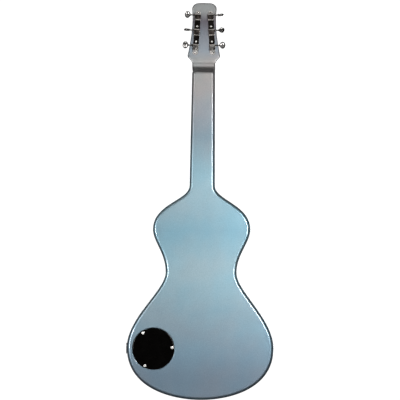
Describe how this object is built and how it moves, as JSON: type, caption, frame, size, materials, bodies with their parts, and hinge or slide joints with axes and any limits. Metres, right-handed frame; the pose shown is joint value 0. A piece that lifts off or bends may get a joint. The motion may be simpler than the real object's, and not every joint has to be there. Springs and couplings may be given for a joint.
{
  "type": "lap steel guitar",
  "caption": "Electric lap steel guitar with an hourglass body, deep square neck, coved head, enclosed worm-geared tuner strips, pickups, fixed bridge and a round rear control cover.",
  "frame": {"origin": "on the flat back, on the centre line, level with the bridge saddle", "axes": "+Z along the neck towards the head, +Y out of the front towards the strings, +X to the bass side"},
  "size_m": [0.3391, 0.061, 0.914],
  "materials": {
    "metallic_blue_lacquer": "metallic light blue lacquer, high gloss",
    "rosewood": "oiled",
    "bone": "polished bone",
    "chrome": "polished",
    "plated_steel": "zinc plated",
    "nickel_screws": "nickel plated",
    "string_steel": "drawn wire",
    "brass": "machined",
    "cover_black": "gloss",
    "pickup_black": "satin gloss",
    "knob_black": "gloss"
  },
  "bodies": {
    "guitar": {"body": "metallic_blue_lacquer", "fretboard": "rosewood", "nut": "bone", "bridge_plate": "chrome", "saddle_bar": "chrome", "bridge_screw_1": "nickel_screws", "bridge_screw_2": "nickel_screws", "bridge_screw_3": "nickel_screws", "bridge_screw_4": "nickel_screws", "bridge_pickup": "pickup_black", "neck_pickup": "pickup_black", "treble_tuner_strip": "chrome", "bass_tuner_strip": "chrome", "treble_strip_screw_1": "nickel_screws", "treble_strip_screw_2": "nickel_screws", "treble_strip_screw_3": "nickel_screws", "treble_strip_screw_4": "nickel_screws", "bass_strip_screw_1": "nickel_screws", "bass_strip_screw_2": "nickel_screws", "bass_strip_screw_3": "nickel_screws", "bass_strip_screw_4": "nickel_screws", "post_bushing_1": "chrome", "post_bushing_2": "chrome", "post_bushing_3": "chrome", "post_bushing_4": "chrome", "post_bushing_5": "chrome", "post_bushing_6": "chrome", "string_1": "string_steel", "string_2": "string_steel", "string_3": "string_steel", "string_4": "string_steel", "string_5": "string_steel", "string_6": "string_steel", "volume_pot": "plated_steel", "tone_pot": "plated_steel", "selector_switch": "plated_steel", "jack_cup": "chrome", "output_jack": "plated_steel", "control_cover": "cover_black", "cover_screw_1": "nickel_screws", "cover_screw_2": "nickel_screws", "cover_screw_3": "nickel_screws"},
    "key_1": {"tuner_key_1": "chrome"},
    "post_1": {"tuner_post_1": "chrome"},
    "key_2": {"tuner_key_2": "chrome"},
    "post_2": {"tuner_post_2": "chrome"},
    "key_3": {"tuner_key_3": "chrome"},
    "post_3": {"tuner_post_3": "chrome"},
    "key_4": {"tuner_key_4": "chrome"},
    "post_4": {"tuner_post_4": "chrome"},
    "key_5": {"tuner_key_5": "chrome"},
    "post_5": {"tuner_post_5": "chrome"},
    "key_6": {"tuner_key_6": "chrome"},
    "post_6": {"tuner_post_6": "chrome"},
    "volume_control": {"volume_shaft": "brass", "volume_knob": "knob_black"},
    "tone_control": {"tone_shaft": "brass", "tone_knob": "knob_black"},
    "selector": {"selector_lever": "chrome"}
  },
  "joints": [
    {"name": "key_1_turn", "type": "hinge", "parent": "guitar", "child": "key_1", "pos_m": [-0.01879, 0.0205, 0.6781], "axis": [0.9981, 0, -0.061], "continuous": true},
    {"name": "post_1_turn", "type": "hinge", "parent": "guitar", "child": "post_1", "pos_m": [-0.01916, 0.0205, 0.67202], "axis": [0, 1, 0], "continuous": true},
    {"name": "key_2_turn", "type": "hinge", "parent": "guitar", "child": "key_2", "pos_m": [-0.01665, 0.0205, 0.71304], "axis": [0.9981, 0, -0.061], "continuous": true},
    {"name": "post_2_turn", "type": "hinge", "parent": "guitar", "child": "post_2", "pos_m": [-0.01702, 0.0205, 0.70695], "axis": [0, 1, 0], "continuous": true},
    {"name": "key_3_turn", "type": "hinge", "parent": "guitar", "child": "key_3", "pos_m": [-0.01451, 0.0205, 0.74797], "axis": [0.9981, 0, -0.061], "continuous": true},
    {"name": "post_3_turn", "type": "hinge", "parent": "guitar", "child": "post_3", "pos_m": [-0.01489, 0.0205, 0.74189], "axis": [0, 1, 0], "continuous": true},
    {"name": "key_4_turn", "type": "hinge", "parent": "guitar", "child": "key_4", "pos_m": [0.01451, 0.0205, 0.74797], "axis": [0.9981, 0, 0.061], "continuous": true},
    {"name": "post_4_turn", "type": "hinge", "parent": "guitar", "child": "post_4", "pos_m": [0.01489, 0.0205, 0.74189], "axis": [0, 1, 0], "continuous": true},
    {"name": "key_5_turn", "type": "hinge", "parent": "guitar", "child": "key_5", "pos_m": [0.01665, 0.0205, 0.71304], "axis": [0.9981, 0, 0.061], "continuous": true},
    {"name": "post_5_turn", "type": "hinge", "parent": "guitar", "child": "post_5", "pos_m": [0.01702, 0.0205, 0.70695], "axis": [0, 1, 0], "continuous": true},
    {"name": "key_6_turn", "type": "hinge", "parent": "guitar", "child": "key_6", "pos_m": [0.01879, 0.0205, 0.6781], "axis": [0.9981, 0, 0.061], "continuous": true},
    {"name": "post_6_turn", "type": "hinge", "parent": "guitar", "child": "post_6", "pos_m": [0.01916, 0.0205, 0.67202], "axis": [0, 1, 0], "continuous": true},
    {"name": "volume_turn", "type": "hinge", "parent": "guitar", "child": "volume_control", "pos_m": [-0.1075, 0.044, 0], "axis": [0, 1, 0], "range_deg": [-140, 140]},
    {"name": "tone_turn", "type": "hinge", "parent": "guitar", "child": "tone_control", "pos_m": [-0.1075, 0.044, -0.04], "axis": [0, 1, 0], "range_deg": [-140, 140]},
    {"name": "selector_tilt", "type": "hinge", "parent": "guitar", "child": "selector", "pos_m": [-0.0825, 0.044, -0.02], "axis": [1, 0, 0], "range_deg": [-14, 14]}
  ],
  "couplings": [
    {"joint": "post_1_turn", "follows": "key_1_turn", "ratio": -0.071429},
    {"joint": "post_2_turn", "follows": "key_2_turn", "ratio": -0.071429},
    {"joint": "post_3_turn", "follows": "key_3_turn", "ratio": -0.071429},
    {"joint": "post_4_turn", "follows": "key_4_turn", "ratio": -0.071429},
    {"joint": "post_5_turn", "follows": "key_5_turn", "ratio": -0.071429},
    {"joint": "post_6_turn", "follows": "key_6_turn", "ratio": -0.071429}
  ]
}
